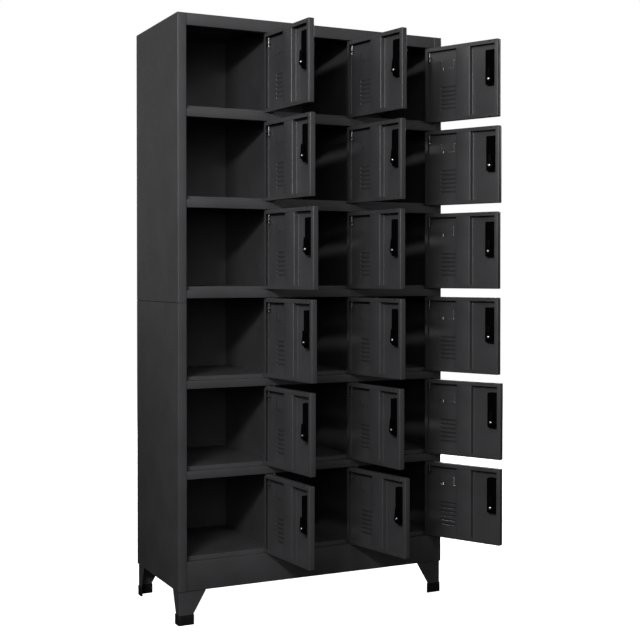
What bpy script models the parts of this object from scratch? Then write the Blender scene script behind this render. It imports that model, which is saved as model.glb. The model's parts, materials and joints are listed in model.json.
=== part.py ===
"""Steel locker cabinet: three columns of six compartments with hinged doors and cam locks."""

import math

import bmesh
import bpy
import numpy as np
from mathutils import Matrix, Vector

# Carcass, metres. X runs to the right, Y to the back, Z up; the front face is at -DEPTH / 2.
WIDTH = 0.900
DEPTH = 0.400
HEIGHT = 1.800
LEG_HEIGHT = 0.100
SHEET = 0.0008
GAP = 0.0003
SIDE_FLANGE = 0.027
RETURN_LIP = 0.024
REAR_FLANGE = 0.015
SEAM_Z = 0.950
SEAM_GAP = 0.001

# Grid of compartments.
COLUMNS = 3
ROWS = 6
DIVIDER_FRONT = 0.005
RAIL_HEIGHT = 0.024
OPENING_HEIGHT = 0.243
KICK_HEIGHT = 0.086
RAIL_LIP = 0.018
LEDGE_DEPTH = 0.0255
STEP_HEIGHT = 0.011
STEP_INSET = 0.011
SHELF_REAR_FLANGE = 0.012
FRONT = -DEPTH / 2
BACK_INNER = DEPTH / 2 - 2 * SHEET - 2 * GAP
OPENING_WIDTH = (WIDTH - 2 * SIDE_FLANGE - 2 * DIVIDER_FRONT) / COLUMNS
ROW_PITCH = OPENING_HEIGHT + RAIL_HEIGHT
FLOOR_Z = LEG_HEIGHT + KICK_HEIGHT
STEP_FACE = FRONT + LEDGE_DEPTH - SHEET
TOP_RAIL_HEIGHT = HEIGHT - FLOOR_Z - ROWS * ROW_PITCH + RAIL_HEIGHT

# Doors, in a frame with the hinge axis at x = y = 0 and the bottom edge at z = 0, closed.
DOOR_SIDE_GAP = 0.002
DOOR_END_GAP = 0.0015
DOOR_WIDTH = OPENING_WIDTH - 2 * DOOR_SIDE_GAP
DOOR_HEIGHT = OPENING_HEIGHT - 2 * DOOR_END_GAP
DOOR_DEPTH = 0.018
DOOR_LIP = 0.012
HINGE_INSET = 0.011
HINGE_BEHIND_FRONT = 0.006
STIFFENER = (0.119, 0.171)
STIFFENER_END = 0.013
PIN_RADIUS = 0.002
PIN_HOLE_RADIUS = 0.0025
PIN_SIDES = 8
PIN_OUT = 0.0045
PIN_LENGTH = 0.042
BRACKET_Z = 0.0315
BRACKET_THICKNESS = 0.0015
# Opening angle of each door at rest, by column from the left and by row from the top.
OPEN_DEG = (
    (94.4, 95.3, 97.5, 96.5, 95.6, 94.8),
    (99.2, 98.3, 98.0, 98.3, 97.4, 102.1),
    (113.9, 115.3, 114.0, 114.2, 117.7, 117.2),
)

# Lock housing and cam, measured from the free edge and from the top edge of the door.
HOUSING_SIDE = (0.012, 0.046)
HOUSING_TOP = (0.031, 0.140)
HOUSING_DEPTH = 0.0168
LOCK_SIDE = 0.029
LOCK_TOP = 0.123
PLUG_RADIUS = 0.009
PLUG_HOLE_RADIUS = 0.0094
PLUG_PROUD = 0.001
PLUG_SIDES = 12
CAM_START = 0.026
CAM_THICKNESS = 0.0025
CAM_LENGTH = 0.034
CAM_WIDTH = 0.016
CAM_TIP_WIDTH = 0.011
CAM_HEEL_RADIUS = 0.011
SCREW_RADIUS = 0.0045
SCREW_HEIGHT = 0.0025

# Legs and foot caps.
LEG_INSET = 0.003
LEG_SHEET = 0.0015
LEG_TOP = (0.084, 0.057)
LEG_FOOT = (0.044, 0.030)
LEG_TAPER_Z = 0.030
CAP_HEIGHT = 0.030
CAP_FLOOR = 0.003
CAP_WALL = 0.002

PAINT = ("anthracite_paint", (0.038, 0.038, 0.040), 0.48, 0.0)
BLACK_STEEL = ("black_steel", (0.008, 0.008, 0.008), 0.42, 0.0)
BLACK_PLASTIC = ("black_plastic", (0.010, 0.010, 0.010), 0.55, 0.0)


def clear_scene():
    for obj in list(bpy.data.objects):
        bpy.data.objects.remove(obj, do_unlink=True)


def material(spec):
    """Returns the Principled material called spec[0], making it on first use."""
    name, colour, roughness, metallic = spec
    found = bpy.data.materials.get(name)
    if found:
        return found
    made = bpy.data.materials.new(name)
    made.use_nodes = True
    shader = made.node_tree.nodes["Principled BSDF"]
    shader.inputs["Base Color"].default_value = (*colour, 1.0)
    shader.inputs["Roughness"].default_value = roughness
    shader.inputs["Metallic"].default_value = metallic
    return made


def cells_inside(box, centres):
    """Mask of the grid cells whose centres lie in a box."""
    masks = [(c > lo) & (c < hi) for c, (lo, hi) in zip(centres, box)]
    return np.ix_(*masks)


def box_mesh(name, adds, cuts=()):
    """One closed mesh of axis-aligned boxes: the sum of adds, less the cuts."""
    edges = []
    for axis in range(3):
        values = sorted(v for box in (*adds, *cuts) for v in box[axis])
        kept = [values[0]]
        for value in values[1:]:
            if value - kept[-1] > 1e-6:
                kept.append(value)
        edges.append(np.array(kept))
    centres = [(e[1:] + e[:-1]) / 2 for e in edges]
    solid = np.zeros([len(c) for c in centres], bool)
    for box in adds:
        solid[cells_inside(box, centres)] = True
    for box in cuts:
        solid[cells_inside(box, centres)] = False

    bm = bmesh.new()
    made = {}

    def corner(index):
        if index not in made:
            made[index] = bm.verts.new([edges[a][index[a]] for a in range(3)])
        return made[index]

    padded = np.pad(solid, 1)
    for axis in range(3):
        for side in (0, 1):
            beyond = np.roll(padded, 1 - 2 * side, axis)[1:-1, 1:-1, 1:-1]
            for cell in np.argwhere(solid & ~beyond):
                u, v = (axis + 1) % 3, (axis + 2) % 3
                loop = []
                for du, dv in ((0, 0), (1, 0), (1, 1), (0, 1)):
                    index = list(cell)
                    index[axis] += side
                    index[u] += du
                    index[v] += dv
                    loop.append(corner(tuple(int(i) for i in index)))
                bm.faces.new(loop if side else loop[::-1])
    merge_flat(bm)
    return finished(bm, name)


def merge_flat(bm):
    """Joins faces that lie in one plane."""
    bmesh.ops.dissolve_limit(
        bm, angle_limit=math.radians(0.1), verts=bm.verts, edges=bm.edges
    )


def finished(bm, name):
    """Writes a bmesh to a new mesh with its faces turned outwards."""
    bmesh.ops.recalc_face_normals(bm, faces=bm.faces)
    mesh = bpy.data.meshes.new(name)
    bm.to_mesh(mesh)
    bm.free()
    return mesh


def prism_mesh(name, outline, low, high, turn=None):
    """A flat outline of (x, y) points, made solid between two heights and then turned."""
    bm = bmesh.new()
    rings = [[bm.verts.new((x, y, z)) for x, y in outline] for z in (low, high)]
    bm.faces.new(rings[0])
    bm.faces.new(rings[1])
    for i in range(len(outline)):
        j = (i + 1) % len(outline)
        bm.faces.new((rings[0][i], rings[0][j], rings[1][j], rings[1][i]))
    if turn is not None:
        bmesh.ops.transform(bm, matrix=turn, verts=bm.verts)
    return finished(bm, name)


def circle(radius, count, centre=(0.0, 0.0)):
    angles = [2 * math.pi * (i + 0.5) / count for i in range(count)]
    return [(centre[0] + radius * math.cos(a), centre[1] + radius * math.sin(a)) for a in angles]


def combined(name, base, others):
    """The base mesh joined with or cut by the others, each given as (mesh, operation)."""
    cutters = bpy.data.collections.new(name + "_tools")
    host = bpy.data.objects.new(name + "_host", base)
    cutters.objects.link(host)
    bpy.context.scene.collection.children.link(cutters)
    helpers = [host]
    for mesh, operation in others:
        helper = bpy.data.objects.new(name + "_tool", mesh)
        helper.hide_render = True
        helper.display_type = "WIRE"
        cutters.objects.link(helper)
        helpers.append(helper)
        boolean = host.modifiers.new(operation.lower(), "BOOLEAN")
        boolean.operation = operation
        boolean.solver = "EXACT"
        boolean.object = helper
    bpy.context.view_layer.update()
    graph = bpy.context.evaluated_depsgraph_get()
    bm = bmesh.new()
    bm.from_object(host, graph)
    merge_flat(bm)
    result = finished(bm, name)
    for helper in helpers:
        bpy.data.objects.remove(helper, do_unlink=True)
    bpy.data.collections.remove(cutters)
    return result


def place(name, mesh, spec, collection, parent, location=(0.0, 0.0, 0.0), turn_deg=0.0):
    if not mesh.materials:
        mesh.materials.append(material(spec))
    obj = bpy.data.objects.new(name, mesh)
    obj.parent = parent
    obj.location = location
    obj.rotation_euler = (0.0, 0.0, math.radians(turn_deg))
    collection.objects.link(obj)
    return obj


def opening_left(column):
    return -WIDTH / 2 + SIDE_FLANGE + column * (OPENING_WIDTH + DIVIDER_FRONT)


def opening_bottom(row):
    """Height of the rail under a row, counted from the top."""
    return FLOOR_Z + (ROWS - 1 - row) * ROW_PITCH


def hinge_xy(column):
    edge = opening_left(column) + OPENING_WIDTH
    return edge - DOOR_SIDE_GAP - HINGE_INSET, FRONT + HINGE_BEHIND_FRONT


def side_mesh(name, side, low, high, fold_top):
    """A side panel: side is -1 for the left and +1 for the right. Its folds end at fold_top."""

    def span(near, far):
        return tuple(sorted((side * (WIDTH / 2 - near), side * (WIDTH / 2 - far))))

    folds = (low, fold_top)
    front = (FRONT, FRONT + SHEET)
    rear = (DEPTH / 2 - SHEET, DEPTH / 2)
    adds = [
        (span(0, SHEET), (FRONT, DEPTH / 2), (low, high)),
        (span(0, SIDE_FLANGE), front, folds),
        (span(SIDE_FLANGE - SHEET, SIDE_FLANGE), (FRONT, FRONT + RETURN_LIP), folds),
        (span(0, REAR_FLANGE), rear, (low, high)),
    ]
    return box_mesh(name, adds)


def level_sheet(top):
    """A level sheet between the side panels, notched at the front corners for their lips."""
    inner = WIDTH / 2 - SIDE_FLANGE - GAP
    outer = WIDTH / 2 - SHEET - GAP
    behind_lips = FRONT + RETURN_LIP + GAP
    heights = (top - SHEET, top)
    return [
        ((-inner, inner), (FRONT + SHEET + GAP, BACK_INNER), heights),
        ((-outer, outer), (behind_lips, BACK_INNER), heights),
    ]


def hinge_hole_tools(name, low, high):
    tools = []
    for column in range(COLUMNS):
        outline = circle(PIN_HOLE_RADIUS, PIN_SIDES, hinge_xy(column))
        tools.append((prism_mesh(name + "_hole", outline, low, high), "DIFFERENCE"))
    return tools


def rail_adds(low, high, ledge):
    """A front rail folded from one sheet: its face, a lip at the bottom and a ledge at the top."""
    inner = WIDTH / 2 - SIDE_FLANGE - GAP
    across = (-inner, inner)
    return [
        (across, (FRONT, FRONT + SHEET), (low, high)),
        (across, (FRONT, FRONT + RAIL_LIP), (low, low + SHEET)),
        (across, (FRONT, FRONT + ledge), (high - SHEET, high)),
    ]


def shelf_mesh(name, rail_bottom, rail_top, holes, slotted=False):
    """A shelf whose floor steps up behind its front rail. The step stops short of each upright."""
    outer = WIDTH / 2 - SHEET - GAP
    floor = rail_top + STEP_HEIGHT
    rear = (BACK_INNER - SHEET, BACK_INNER)
    adds = [
        *rail_adds(rail_bottom, rail_top, LEDGE_DEPTH),
        ((-outer, outer), (STEP_FACE, BACK_INNER), (floor - SHEET, floor)),
        ((-outer, outer), rear, (floor - SHELF_REAR_FLANGE, floor)),
    ]
    cuts = []
    for column in range(COLUMNS):
        left = opening_left(column)
        run = (left + STEP_INSET, left + OPENING_WIDTH - STEP_INSET)
        adds.append((run, (STEP_FACE, STEP_FACE + SHEET), (rail_top - SHEET, floor)))
        if slotted and column:
            slot = (left - DIVIDER_FRONT - GAP, left - DIVIDER_FRONT + SHEET + GAP)
            cuts.append((slot, (0.0, 1.0), (rail_bottom - 0.01, floor + 0.01)))
    plain = box_mesh(name, adds, cuts)
    return combined(name, plain, hinge_hole_tools(name, *holes))


def top_mesh(name):
    """The top panel, whose front edge folds down into the top rail."""
    outer = WIDTH / 2 - SHEET - GAP
    low = HEIGHT - TOP_RAIL_HEIGHT
    adds = [
        *rail_adds(low, HEIGHT, SHEET),
        ((-outer, outer), (FRONT, BACK_INNER), (HEIGHT - SHEET, HEIGHT)),
        ((-outer, outer), (BACK_INNER - SHEET, BACK_INNER), (HEIGHT - SHELF_REAR_FLANGE, HEIGHT)),
    ]
    return combined(name, box_mesh(name, adds), hinge_hole_tools(name, low - 0.002, low + 0.002))


def divider_mesh(name, column):
    """The sheet between two columns, with a folded front edge between the rails."""
    left = opening_left(column) - DIVIDER_FRONT
    strip = (left, left + DIVIDER_FRONT)
    heights = (FLOOR_Z + GAP, HEIGHT - SHEET - GAP)
    adds = [
        ((left, left + SHEET), (FRONT, BACK_INNER), heights),
        (strip, (FRONT, FRONT + SHEET), heights),
        ((strip[1] - SHEET, strip[1]), (FRONT, FRONT + RETURN_LIP), heights),
    ]
    wide = (left - 0.01, left + 0.01)
    ahead = FRONT - 0.01
    step = STEP_FACE - GAP
    cuts = [
        (wide, (ahead, FRONT + RAIL_LIP + GAP), (HEIGHT - TOP_RAIL_HEIGHT - GAP, 2.0)),
        (wide, (BACK_INNER - SHEET - GAP, 1.0), (HEIGHT - SHELF_REAR_FLANGE - GAP, 2.0)),
        (wide, (step, 1.0), (0.0, FLOOR_Z + STEP_HEIGHT + GAP)),
    ]
    for row in range(ROWS - 1):
        rail = opening_bottom(row)
        floor = rail + STEP_HEIGHT
        cuts.append((wide, (ahead, FRONT + LEDGE_DEPTH + GAP), (rail - RAIL_HEIGHT - GAP, rail + GAP)))
        cuts.append((wide, (step, GAP), (floor - SHEET - GAP, floor + GAP)))
    return box_mesh(name, adds, cuts)


def door_mesh():
    """A pan with returned edges, a hat stiffener, the lock housing and both hinge pins."""
    free = HINGE_INSET - DOOR_WIDTH
    outer = -HINGE_BEHIND_FRONT
    inner = outer + DOOR_DEPTH
    skin = outer + SHEET
    middle = (
        (free + SHEET, HINGE_INSET - SHEET),
        (skin, inner - SHEET),
        (SHEET, DOOR_HEIGHT - SHEET),
    )
    mouth = (
        (free + DOOR_LIP, HINGE_INSET - DOOR_LIP),
        (skin, inner + 0.001),
        (DOOR_LIP, DOOR_HEIGHT - DOOR_LIP),
    )
    shell = box_mesh(
        "door_shell",
        [((free, HINGE_INSET), (outer, inner), (0.0, DOOR_HEIGHT))],
        [middle, mouth],
    )
    hat = (HINGE_INSET - STIFFENER[1], HINGE_INSET - STIFFENER[0])
    run = (STIFFENER_END, DOOR_HEIGHT - STIFFENER_END)
    web = 2 * SHEET
    stiffener = box_mesh(
        "door_stiffener",
        [(hat, (outer + SHEET / 2, inner - SHEET), run)],
        [((hat[0] + web, hat[1] - web), (outer - 0.001, inner - 2 * SHEET), (-1.0, 1.0))],
    )
    housing = box_mesh(
        "door_housing",
        [
            (
                (free + HOUSING_SIDE[0], free + HOUSING_SIDE[1]),
                (outer + SHEET / 2, outer + HOUSING_DEPTH),
                (DOOR_HEIGHT - HOUSING_TOP[1], DOOR_HEIGHT - HOUSING_TOP[0]),
            )
        ],
    )
    bracket = box_mesh(
        "door_bracket",
        [
            (
                (-0.007, HINGE_INSET - SHEET / 2),
                (outer + SHEET / 2, 0.007),
                (DOOR_HEIGHT - BRACKET_Z - BRACKET_THICKNESS, DOOR_HEIGHT - BRACKET_Z),
            )
        ],
    )
    top_pin = prism_mesh(
        "door_top_pin", circle(PIN_RADIUS, PIN_SIDES), DOOR_HEIGHT - PIN_LENGTH, DOOR_HEIGHT + PIN_OUT
    )
    low_pin = prism_mesh("door_low_pin", circle(PIN_RADIUS, PIN_SIDES), -PIN_OUT, 0.006)
    bore = prism_mesh(
        "door_bore", circle(PLUG_HOLE_RADIUS, PLUG_SIDES), -0.05, 0.05, Matrix.Rotation(math.pi / 2, 4, "X")
    )
    bore.transform(Matrix.Translation(lock_point()))
    return combined(
        "door",
        shell,
        [
            (stiffener, "UNION"),
            (housing, "UNION"),
            (bracket, "UNION"),
            (top_pin, "UNION"),
            (low_pin, "UNION"),
            (bore, "DIFFERENCE"),
        ],
    )


def lock_point():
    """Where the lock's axis crosses the door's outer face."""
    x = HINGE_INSET - DOOR_WIDTH + LOCK_SIDE
    return Vector((x, -HINGE_BEHIND_FRONT, DOOR_HEIGHT - LOCK_TOP))


def cam_mesh():
    """The key plug, cam and screw, with the plug's axis along +Y and the cam pointing up."""
    onto_y = Matrix.Rotation(-math.pi / 2, 4, "X")
    plug = prism_mesh("cam_plug", circle(PLUG_RADIUS, PLUG_SIDES), -PLUG_PROUD, CAM_START + 0.001, onto_y)
    heel = [math.pi * i / 8 for i in range(9)]
    outline = [(CAM_HEEL_RADIUS * math.cos(a), CAM_HEEL_RADIUS * math.sin(a)) for a in heel]
    outline += [(-CAM_WIDTH / 2, -0.008), (-CAM_TIP_WIDTH / 2, -CAM_LENGTH)]
    outline += [(CAM_TIP_WIDTH / 2, -CAM_LENGTH), (CAM_WIDTH / 2, -0.008)]
    plate = prism_mesh("cam_plate", outline, CAM_START, CAM_START + CAM_THICKNESS, onto_y)
    top = CAM_START + CAM_THICKNESS
    screw = prism_mesh("cam_screw", circle(SCREW_RADIUS, PLUG_SIDES), top - 0.001, top + SCREW_HEIGHT, onto_y)
    return combined("cam", plate, [(plug, "UNION"), (screw, "UNION")])


def leg_mesh(name, side, end):
    """A tapered angle with a top plate: side is the sign of X and end the sign of Y."""
    bm = bmesh.new()

    def ring(width, depth, z):
        t = LEG_SHEET
        points = ((0, 0), (width, 0), (width, t), (t, t), (t, depth), (0, depth))
        return [bm.verts.new((x, y, z)) for x, y in points]

    plate_low = LEG_HEIGHT - GAP - LEG_SHEET
    plate_top = LEG_HEIGHT - GAP
    rings = [
        ring(*LEG_FOOT, CAP_FLOOR + GAP),
        ring(*LEG_FOOT, LEG_TAPER_Z),
        ring(*LEG_TOP, plate_low),
    ]
    bm.faces.new(rings[0])
    for lower, upper in zip(rings, rings[1:]):
        for i in range(6):
            j = (i + 1) % 6
            bm.faces.new((lower[i], lower[j], upper[j], upper[i]))
    width, depth = LEG_TOP
    far = bm.verts.new((width, depth, plate_low))
    roof = [bm.verts.new((x, y, plate_top)) for x, y in ((0, 0), (width, 0), (width, depth), (0, depth))]
    a, b, c, d, e, f = rings[2]
    bm.faces.new((c, far, e, d))
    bm.faces.new((a, b, roof[1], roof[0]))
    bm.faces.new((b, c, far, roof[2], roof[1]))
    bm.faces.new((far, e, f, roof[3], roof[2]))
    bm.faces.new((f, a, roof[0], roof[3]))
    bm.faces.new(roof)
    corner = Vector((side * (WIDTH / 2 - LEG_INSET), end * (DEPTH / 2 - LEG_INSET), 0.0))
    turn = Matrix.Translation(corner) @ Matrix.Diagonal((-side, -end, 1, 1))
    bmesh.ops.transform(bm, matrix=turn, verts=bm.verts)
    return finished(bm, name)


def cap_mesh(name, side, end):
    """An L-shaped cup around the bottom of a leg."""
    corner = (side * (WIDTH / 2 - LEG_INSET), end * (DEPTH / 2 - LEG_INSET))
    skirt = GAP + CAP_WALL

    def arm(grow, low, high, long_x):
        lengths = (LEG_FOOT[0] if long_x else LEG_SHEET, LEG_SHEET if long_x else LEG_FOOT[1])
        box = []
        for at, sign, length in zip(corner, (side, end), lengths):
            box.append(tuple(sorted((at + sign * grow, at - sign * (length + grow)))))
        return (*box, (low, high))

    adds = [arm(skirt, 0.0, CAP_HEIGHT, long_x) for long_x in (True, False)]
    cuts = [arm(GAP, CAP_FLOOR, CAP_HEIGHT + 0.01, long_x) for long_x in (True, False)]
    return box_mesh(name, adds, cuts)


def smooth(mesh):
    mesh.polygons.foreach_set("use_smooth", [True] * len(mesh.polygons))
    mesh.set_sharp_from_angle(angle=math.radians(35))


def build_carcass(collection, frame):
    def add(name, mesh, spec=PAINT):
        place(name, mesh, spec, collection, frame)

    for side, word in ((-1, "left"), (1, "right")):
        low = f"side_{word}_lower"
        high = f"side_{word}_upper"
        seam = SEAM_Z - SEAM_GAP / 2
        add(low, side_mesh(low, side, LEG_HEIGHT, seam, seam))
        seam = SEAM_Z + SEAM_GAP / 2
        add(high, side_mesh(high, side, seam, HEIGHT, HEIGHT - SHEET - GAP))

    half = WIDTH / 2 - SHEET - GAP
    sheet = (DEPTH / 2 - 2 * SHEET - GAP, DEPTH / 2 - SHEET - GAP)
    for name, low, high in (
        ("back_lower", LEG_HEIGHT, SEAM_Z - SEAM_GAP / 2),
        ("back_upper", SEAM_Z + SEAM_GAP / 2, HEIGHT),
    ):
        add(name, box_mesh(name, [((-half, half), sheet, (low, high))]))

    add("top_panel", top_mesh("top_panel"))
    for row in range(ROWS - 1):
        top = opening_bottom(row)
        bottom = top - RAIL_HEIGHT
        name = f"shelf_{row + 1}"
        holes = (bottom - 0.002, top + 0.002)
        add(name, shelf_mesh(name, bottom, top, holes, slotted=True))
    holes = (FLOOR_Z - 0.002, FLOOR_Z + 0.002)
    add("bottom_shelf", shelf_mesh("bottom_shelf", LEG_HEIGHT, FLOOR_Z, holes))
    base_top = LEG_HEIGHT + 2 * SHEET + GAP
    add("base_panel", box_mesh("base_panel", level_sheet(base_top)))
    for column in range(1, COLUMNS):
        name = f"divider_{column}"
        add(name, divider_mesh(name, column))

    for side, word in ((-1, "left"), (1, "right")):
        for end, place_word in ((-1, "front"), (1, "rear")):
            suffix = f"{place_word}_{word}"
            add("leg_" + suffix, leg_mesh("leg_" + suffix, side, end))
            add("foot_" + suffix, cap_mesh("foot_" + suffix, side, end), BLACK_PLASTIC)


def build_doors(collection, frame):
    door = door_mesh()
    cam = cam_mesh()
    smooth(door)
    smooth(cam)
    for column in range(COLUMNS):
        for row in range(ROWS):
            x, y = hinge_xy(column)
            where = (x, y, opening_bottom(row) + DOOR_END_GAP)
            suffix = f"r{row + 1}c{column + 1}"
            angle = OPEN_DEG[column][row]
            leaf = place("door_" + suffix, door, PAINT, collection, frame, where, angle)
            place("cam_" + suffix, cam, BLACK_STEEL, collection, leaf, lock_point())


def centre_on_floor(collection, frame):
    """Moves the whole cabinet so that the origin is at the middle of its base, doors included."""
    bpy.context.view_layer.update()
    points = []
    for obj in collection.objects:
        if obj.type == "MESH":
            points += [obj.matrix_world @ v.co for v in obj.data.vertices]
    spread = np.array([p[:] for p in points])
    middle = (spread.min(axis=0) + spread.max(axis=0)) / 2
    frame.location = (-middle[0], -middle[1], -spread[:, 2].min())


def main():
    clear_scene()
    collection = bpy.data.collections.new("locker_cabinet")
    bpy.context.scene.collection.children.link(collection)
    frame = bpy.data.objects.new("cabinet_frame", None)
    collection.objects.link(frame)
    build_carcass(collection, frame)
    build_doors(collection, frame)
    centre_on_floor(collection, frame)


main()
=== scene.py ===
"""Looks of the steel locker cabinet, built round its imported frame."""

import json
import math

import bmesh
import bpy
from mathutils import Matrix, Vector


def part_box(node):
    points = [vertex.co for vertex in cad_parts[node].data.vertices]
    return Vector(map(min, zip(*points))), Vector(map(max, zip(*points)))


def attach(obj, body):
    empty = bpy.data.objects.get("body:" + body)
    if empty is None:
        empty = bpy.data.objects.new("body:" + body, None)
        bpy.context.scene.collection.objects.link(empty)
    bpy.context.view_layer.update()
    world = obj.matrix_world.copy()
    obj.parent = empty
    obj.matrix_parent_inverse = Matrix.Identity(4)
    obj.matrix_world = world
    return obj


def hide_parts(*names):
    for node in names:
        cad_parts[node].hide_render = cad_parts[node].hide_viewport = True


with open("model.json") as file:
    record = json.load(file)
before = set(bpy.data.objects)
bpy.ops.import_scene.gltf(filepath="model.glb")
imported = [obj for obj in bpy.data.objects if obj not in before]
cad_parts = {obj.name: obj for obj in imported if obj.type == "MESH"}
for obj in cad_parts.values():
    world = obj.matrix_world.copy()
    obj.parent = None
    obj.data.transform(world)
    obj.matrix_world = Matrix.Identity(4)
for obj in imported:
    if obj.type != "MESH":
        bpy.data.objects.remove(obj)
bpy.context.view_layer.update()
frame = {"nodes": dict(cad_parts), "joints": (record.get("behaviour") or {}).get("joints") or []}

# The body, measured on the frame. Pieces are drawn with X centred, Y to the back and Z up.
LEFT_LOW = Vector(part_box("side_left_lower")[0])
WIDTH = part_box("side_right_lower")[1][0] - LEFT_LOW.x
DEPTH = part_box("side_left_lower")[1][1] - LEFT_LOW.y
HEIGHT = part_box("top_panel")[1][2]
CENTRE = Vector((LEFT_LOW.x + WIDTH / 2, LEFT_LOW.y + DEPTH / 2, 0.0))
LEG_HEIGHT = LEFT_LOW.z
SEAM_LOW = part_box("side_left_lower")[1][2]
SEAM_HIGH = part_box("side_left_upper")[0][2]

# Small gaps, how far a cutting solid reaches past what it cuts, and places past the whole body or a door.
HAIR = 0.0001
OVERLAP = 0.001
PAST_SHEET = 0.002
PAST = 0.01
PAST_LIPS = 0.03
BEYOND = 1.0
ABOVE = 2.0
OUTSIDE, INSIDE = -0.02, 0.02

# Sheet metal.
SHEET = 0.0008
GAP = 0.0003
BEND = 0.0007
BEND_STEPS = 4
SIDE_FLANGE = 0.027
RETURN_LIP = 0.024
REAR_FLANGE = 0.015
FOLD_RELIEF = 0.0022
FINE_BEVEL = 0.0002
SEAM_EASE = 0.0004
SEAM_LAP = 0.012
FRONT = -DEPTH / 2
BACK_INNER = DEPTH / 2 - 2 * SHEET - 2 * GAP

# Grid of compartments.
COLUMNS = 3
ROWS = 6
DIVIDER_FRONT = 0.005
RAIL_HEIGHT = 0.024
RAIL_LIP = 0.018
LEDGE_DEPTH = 0.0255
STEP_HEIGHT = 0.011
STEP_INSET = 0.011
SHELF_REAR_FLANGE = 0.012
OPENING_HEIGHT = 0.243
KICK_HEIGHT = 0.086
OPENING_WIDTH = (WIDTH - 2 * SIDE_FLANGE - 2 * DIVIDER_FRONT) / COLUMNS
ROW_PITCH = OPENING_HEIGHT + RAIL_HEIGHT
FLOOR_Z = LEG_HEIGHT + KICK_HEIGHT
STEP_FACE = FRONT + LEDGE_DEPTH - SHEET
TOP_RAIL_HEIGHT = HEIGHT - FLOOR_Z - ROWS * ROW_PITCH + RAIL_HEIGHT
PIN_HOLE_RADIUS = 0.0025
PIN_SIDES = 16

# Doors, with the hinge axis at x = y = 0 and the bottom edge at z = 0, closed.
DOOR_SIDE_GAP = 0.002
DOOR_END_GAP = 0.0015
DOOR_WIDTH = OPENING_WIDTH - 2 * DOOR_SIDE_GAP
DOOR_HEIGHT = OPENING_HEIGHT - 2 * DOOR_END_GAP
DOOR_DEPTH = 0.018
DOOR_LIP = 0.012
HINGE_INSET = 0.011
HINGE_BEHIND_FRONT = 0.006
FREE_EDGE = HINGE_INSET - DOOR_WIDTH
DOOR_OUTER = -HINGE_BEHIND_FRONT
DOOR_INNER = DOOR_OUTER + DOOR_DEPTH
DOOR_SKIN = DOOR_OUTER + SHEET
DOOR_BEND = 0.0010
DOOR_CORNER = 0.0025
DOOR_RIM = 0.02
CORNER_STEPS = 5

# Details of a door, measured from its hinge-side, free or top edge.
STIFFENER = (0.119, 0.171)
STIFFENER_FOOT = 0.0075
STIFFENER_BEND = 0.0014
STIFFENER_END = 0.0015
LOUVRES = 6
LOUVRE_SPAN = (0.048, 0.108)
LOUVRE_TOP = 0.1265
LOUVRE_PITCH = 0.0136
LOUVRE_HEIGHT = 0.007
LOUVRE_DEPTH = 0.0031
LOUVRE_END = 0.008
LOUVRE_LAP = 0.0005
LOUVRE_FACETS = (22, 6)
CARD_STAND = 0.0008
CARD_LAP = 0.0005
CARD_CORNER = 0.0018
CARD_TABS = (
    ((0.100, 0.107), (0.044, 0.071), "free"),
    ((0.048, 0.055), (0.044, 0.071), "hinge"),
    ((0.060, 0.095), (0.066, 0.073), "below"),
)
LIP_JOINT = 0.0004
LIP_JOINT_START = 0.0017
FOLD_SLOT_SIDE = 0.029
FOLD_SLOT_WIDTH = 0.003
FOLD_SLOT_RUN = 0.006
FOLD_SLOT_DEPTH = 0.005
HOUSING_SIDE = (0.012, 0.046)
HOUSING_TOP = (0.031, 0.140)
HOUSING_DEPTH = 0.0168
HOUSING_LAP = 0.002
BEZEL_THICKNESS = 0.0009
BARREL_RADIUS = 0.0115
BARREL_SPAN = (0.010, 0.0255)
BARREL_CHAMFER = 0.0007
PULL_TOP = (0.036, 0.098)
PULL_WALL = 0.0035
PULL_ROUNDING = 0.0028
PULL_FLOOR = 0.002
PIN_RADIUS = 0.002
PIN_PLAY = 0.0002
PIN_OUT = 0.0045
PIN_LENGTH = 0.042
PIN_CHAMFER = 0.0006
BOTTOM_PIN_TOP = 0.006
BRACKET_Z = 0.0315
BRACKET_THICKNESS = 0.0015
BRACKET_REACH = 0.007
BRACKET_START = -0.007
BRACKET_FOOT = 0.012
BRACKET_BEND = 0.0006
LOCK_SIDE = 0.029
LOCK_TOP = 0.123
PLUG_RADIUS = 0.009
PLUG_HOLE_RADIUS = 0.0094
PLUG_PROUD = 0.001
PLUG_CHAMFER = (0.0007, 0.0006)
PLUG_BORE_END = 0.04
LOCK_SIDES = 32
KEY_SLOT = (0.0014, 0.008)
KEY_SLOT_DEPTH = 0.005
CAM_START = 0.026
CAM_THICKNESS = 0.0025
CAM_LENGTH = 0.034
CAM_WIDTH = 0.016
CAM_TIP_WIDTH = 0.011
CAM_HEEL_RADIUS = 0.011
CAM_HEEL_STEPS = 8
CAM_SHOULDER = 0.008
CAM_CORNERS = (0.002, 0.004)
CAM_BEVEL = 0.0004
SCREW_RADIUS = 0.0045
SCREW_HEIGHT = 0.0025
SCREW_RIM = 0.0008
SCREW_SUNK = 0.0005
SCREW_SIDES = 24
SCREW_DOME_STEPS = 5
SCREW_CROSS = (0.0021, 0.0004)
SCREW_CROSS_DEPTH = 0.0014

# Legs.
LEG_INSET = 0.003
LEG_SHEET = 0.0015
LEG_BEND = 0.0015
LEG_TOP = (0.084, 0.057)
LEG_FOOT = (0.044, 0.030)
LEG_TAPER_Z = 0.030
LEG_BEND_STEPS = 6
LEG_PLATE_CORNER = 0.0025
LEG_PLATE_BEVEL = 0.0003
CAP_HEIGHT = 0.030
CAP_FLOOR = 0.003
CAP_WALL = 0.002
CAP_CORNER = 0.0012
CAP_INNER_CORNER = 0.0008
CAP_BEVEL = 0.0005

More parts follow.
